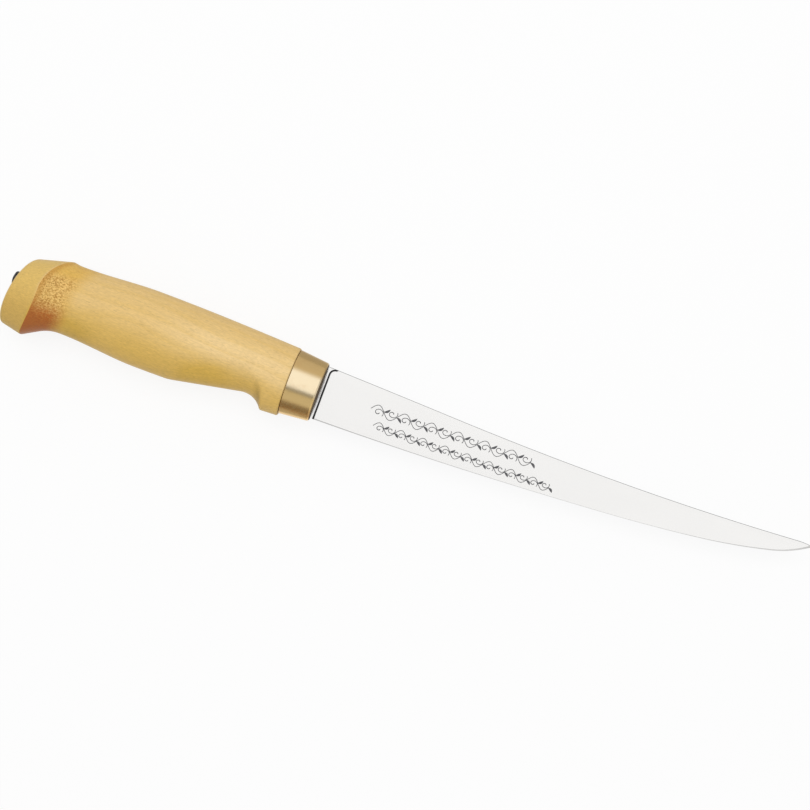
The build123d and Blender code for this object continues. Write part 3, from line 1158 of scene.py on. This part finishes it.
# %% [markdown]
# The side of a knife like this often carries an etched line of decoration. Here it is a vine
# scroll, one of the oldest border patterns: a wavy stem, with a curled tendril in each bend and a
# small leaf at each crossing. The etching is a hair's breadth of metal, so each line is a thin bead
# laid on the flank and pressed flat. Geometry Nodes draw one sprig, repeat it along the stem, turn
# every second one over, and drape the whole row on the steel.

# %% Etched scroll: sizes
scroll_rows = {
    "upper": {"Start": 20.0, "Up": 1.4, "Climb": 0.035, "Half wave": 5.2, "Bends": 12},
    "lower": {"Start": 23.0, "Up": -4.2, "Climb": 0.020, "Half wave": 4.3, "Bends": 16},
}
scroll_sizes = {"Line radius": 0.12, "Flatness": 0.12, "Leaf fatness": 3.6}
# The sizes of a sprig are shares of the half wave
stem_rise = 0.40
tendril_outside, tendril_inside = 0.40, 0.06
tendril_centre = (0.60, -0.10)
tendril_squeeze = 0.80
tendril_turns = 1.1
leaf_base, leaf_bend, leaf_tip = (0.95, 0.06), (1.22, 0.06), (1.36, 0.36)
BEND_POINTS, TENDRIL_POINTS, LEAF_POINTS, BEAD_SIDES = 16, 24, 9, 6
for row_name, row in scroll_rows.items():
    print(row_name, "row", round(row["Half wave"] * row["Bends"], 1), "mm long")


# %% [markdown]
# A sprig is a spiral curve, squeezed a little, and a short bent line for the leaf. A curve's radius
# says how thick its line gets, so the tendril thins out towards its end and the leaf swells in its
# middle.

# %% Etched scroll: one sprig
def vine_sprig(board, size, along):
    """A curled tendril and a leaf, in the bend that follows the start of the stem."""

    def spot(ahead, up):
        return board.join(size["Half wave"] * ahead, size["Half wave"] * up, 0.0)

    tendril = board.node(
        "GeometryNodeCurveSpiral",
        Resolution=TENDRIL_POINTS,
        Rotations=tendril_turns,
        Start_Radius=size["Half wave"] * tendril_inside,
        End_Radius=size["Half wave"] * tendril_outside,
        Height=0.0,
    )
    thinning = 1.3 - along.between(0, 0.4) * 0.25
    tendril = board.node("GeometryNodeSetCurveRadius", Curve=tendril, Radius=thinning)
    centre, squeeze = spot(*tendril_centre), (1.0, tendril_squeeze, 1.0)
    tendril = board.node(
        "GeometryNodeTransform", Geometry=tendril, Translation=centre, Scale=squeeze
    )

    start, middle, end = (spot(*place) for place in (leaf_base, leaf_bend, leaf_tip))
    leaf = board.node("GeometryNodeCurveQuadraticBezier", Start=start, Middle=middle, End=end)
    leaf = board.node("GeometryNodeResampleCurve", Curve=leaf, Count=LEAF_POINTS)
    swelling = (along * pi).math("SINE") * size["Leaf fatness"] + 0.2
    leaf = board.node("GeometryNodeSetCurveRadius", Curve=leaf, Radius=swelling)
    sprig = board.node("GeometryNodeJoinGeometry", Geometry=tendril)
    board.feed(sprig.socket.node, Geometry=leaf)
    return sprig


print("a tendril turns", tendril_turns, "times and reaches", tendril_outside, "of a half wave")

# %% [markdown]
# The stem is a straight line whose points are lifted into a wave, and a sprig sits at each of its
# crossings. A six-sided profile swept along all the lines makes them beads. Draping is one more Set
# Position, in which each point's height comes from the rule of the flank under it.

# %% Etched scroll: a row
def scroll_tree(name, row, material):
    board, size = new_geometry_tree(name, {**row, **scroll_sizes})
    half_wave = size["Half wave"]
    row_end = board.join(half_wave * size["Bends"], 0.0, 0.0)
    stem = board.node("GeometryNodeCurvePrimitiveLine", End=row_end)
    stem_points = size["Bends"] * BEND_POINTS + 1
    stem = board.node("GeometryNodeResampleCurve", Curve=stem, Count=stem_points)
    x, _, _ = board.parts(board.node("GeometryNodeInputPosition"))
    wave = (x / half_wave * pi).math("SINE") * half_wave * stem_rise
    stem = board.node("GeometryNodeSetPosition", Geometry=stem, Position=board.join(x, wave, 0.0))

    sprig = vine_sprig(board, size, board.node("GeometryNodeSplineParameter"))
    step = board.join(half_wave, 0.0, 0.0)
    bends = board.node("GeometryNodeMeshLine", Count=size["Bends"], Offset=step)
    every_second = board.node("GeometryNodeInputIndex").math("MODULO", 2)
    turned_over = board.join(1.0, 1 - every_second * 2, 1.0)
    sprigs = board.node(
        "GeometryNodeInstanceOnPoints", Points=bends, Instance=sprig, Scale=turned_over
    )
    sprigs = board.node("GeometryNodeRealizeInstances", Geometry=sprigs)
    lines = board.node("GeometryNodeJoinGeometry", Geometry=stem)
    board.feed(lines.socket.node, Geometry=sprigs)

    profile = board.node(
        "GeometryNodeCurvePrimitiveCircle", Resolution=BEAD_SIDES, Radius=size["Line radius"]
    )
    thickness = board.node("GeometryNodeInputRadius")
    curves = {"Curve": lines, "Profile Curve": profile}
    beads = board.node("GeometryNodeCurveToMesh", None, curves, Scale=thickness, Fill_Caps=True)
    bead_x, bead_y, bead_z = board.parts(board.node("GeometryNodeInputPosition"))
    ahead = bead_x + size["Start"]
    up = bead_y + size["Up"] + bead_x * size["Climb"]
    out = flank_height(ahead, up, blade_sizes) + bead_z * size["Flatness"]
    places = in_frame(board, ahead, up, out)
    draped = board.node("GeometryNodeSetPosition", Geometry=beads, Position=places)
    return end_tree(board, draped, material)


# %% [markdown]
# Acid bites steel dull and dark, and a little unevenly. Both rows take the same finish, and they
# ride the same body as the blade.

# %% Etched scroll: the finish and both rows
deep_etch, light_etch = (0.055, 0.055, 0.06), (0.17, 0.17, 0.18)


def make_etch():
    board = Finish("etched steel", 0.5)
    bite = board.noise((0.3, 0.3, 0.3), 3, 0.6)
    colour = board.mix(bite, deep_etch, light_etch)
    return board.dress(Base_Color=colour, Roughness=0.5 + (bite - 0.5) * 0.3)


etch = make_etch()
for row_name, row in scroll_rows.items():
    vine = scroll_tree(row_name + " scroll", row, etch)
    scroll = add_object("etched_scroll_" + row_name, grow("etched_scroll_" + row_name, vine, etch))
    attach(scroll, body)
    print(scroll.name, "has", len(scroll.data.polygons), "faces")

# %% [markdown]
# The knife lies on a plain white table. To the camera and in mirrors the table is white, with only
# a little of its real shading let through, so that the knife keeps a soft shadow. To every other
# ray it is ordinary white board that throws light back up. A little away from the knife, on both
# sides, the mirrored table is grey, as if cloths lay there, because round brass needs something
# darker to mirror.

# %% Table
table_size = 3.0
table_whiteness = 0.86
white, paper_white = (1.0, 1.0, 1.0), (0.9, 0.9, 0.9)
cloth_grey = (0.46, 0.46, 0.46)
cloth_above, cloth_below = (0.012, 0.03), (-0.024, -0.036)


def empty_board(owner):
    """A board with no nodes yet, for a material or a world."""
    owner.use_nodes = True
    owner.node_tree.nodes.clear()
    return Board(owner.node_tree)


def kinds_of_ray(board):
    """Whether a ray comes from the camera, and whether metal mirrored it or glass let it past."""
    path = board.node("ShaderNodeLightPath")
    return path, path.output("Is Glossy Ray").math("MAXIMUM", path.output("Is Transmission Ray"))


def make_table():
    material = bpy.data.materials.new("white board")
    board = empty_board(material)
    from_camera, mirrored = kinds_of_ray(board)
    seen = from_camera.math("MAXIMUM", mirrored)
    _, y, _ = board.parts(board.node("ShaderNodeTexCoord").output("Object"))
    on_cloth = y.smooth(*cloth_above).math("MAXIMUM", y.smooth(*cloth_below)) * mirrored
    paper = board.node("ShaderNodeBsdfDiffuse", Color=paper_white)
    glow_colour = board.mix(on_cloth, white, cloth_grey)
    glow = board.node("ShaderNodeEmission", Color=glow_colour, Strength=1.0)
    both = board.node("ShaderNodeMixShader", None, {0: seen * table_whiteness, 1: paper, 2: glow})
    board.node("ShaderNodeOutputMaterial", Surface=both)
    return material


table_mesh = bpy.data.meshes.new("table")
half = table_size / 2
table_mesh.from_pydata(
    [(-half, -half, 0), (half, -half, 0), (half, half, 0), (-half, half, 0)], [], [(0, 1, 2, 3)]
)
table_mesh.materials.append(make_table())
table = add_object("table", table_mesh)
print("table", table_size, "m wide")

# %% [markdown]
# The room gives even, soft light from all sides. Metal is different: it looks like whatever it
# mirrors, and in an all-white room a brass ferrule turns flat. So mirrored rays see a simple
# studio: a broad white panel overhead, dimmer walls on both sides of it, and a dark strip low down.
# The panel's edges become the bright and dark bands on the round brass. Towards the tip the studio
# is pale all over, so the blade stays clean, but for one darker patch far ahead, which the
# ferrule's round front edge mirrors.

# %% Room light
room_level = 0.62
# Degrees from straight overhead, towards the spine, and how bright the studio is there
studio_bands = (
    (-180, 0.90), (-105, 0.90), (-101, 0.26), (-62, 0.28), (-56, 0.62), (-25, 0.60), (-22, 0.28),
    (-14, 0.28), (-10, 1.10), (36, 1.10), (42, 0.76), (90, 0.68),
)
tip_wall_level = 0.76
patch_depth = 0.6


def make_room():
    scene.world = bpy.data.worlds.new("studio")
    board = empty_board(scene.world)
    from_camera, mirrored = kinds_of_ray(board)
    x, y, z = board.parts(board.node("ShaderNodeTexCoord").output("Generated"))
    tilt = y.math("ARCTAN2", z) / (2 * pi) + 0.5
    stops = [(degrees / 360 + 0.5, (level,) * 3) for degrees, level in studio_bands]
    panels = board.node("ShaderNodeValToRGB", {"stops": stops}, Fac=tilt)
    patch = x.smooth(0.55, 0.75) * (1 - x.smooth(0.93, 0.98)) * z.smooth(0.38, 0.52)
    tip_wall = x.smooth(0.24, 0.36) * tip_wall_level
    level = panels.math("MAXIMUM", tip_wall) * (1 - patch * patch_depth)
    colour = board.mix(from_camera, (room_level,) * 3, white)
    colour = board.mix(mirrored, colour, board.join(level, level, level))
    backdrop = board.node("ShaderNodeBackground", Color=colour, Strength=1.0)
    board.node("ShaderNodeOutputWorld", Surface=backdrop)


make_room()
print("studio of", len(studio_bands), "levels")

# %% [markdown]
# One large soft lamp hangs over the handle, a little beyond the spine, and models its round sides.
# It's hidden from mirrored rays, because the room above already holds its panel.

# %% Lamp
lamp_power = 5.7
lamp_length, lamp_width = 0.9, 0.7
lamp_place = (-0.10, 0.25, 1.10)

lamp_data = bpy.data.lights.new("soft lamp", "AREA")
lamp_data.shape = "RECTANGLE"
lamp_data.size, lamp_data.size_y = lamp_length, lamp_width
lamp_data.energy = lamp_power
lamp = add_object("soft lamp", lamp_data)
lamp.location = lamp_place
lamp.rotation_euler = (target - lamp.location).to_track_quat("-Z", "Y").to_euler()
lamp.visible_glossy = False
scene.view_settings.view_transform = "Standard"
print("lamp of", lamp_power, "W,", round((lamp.location - target).length, 2), "m from the knife")
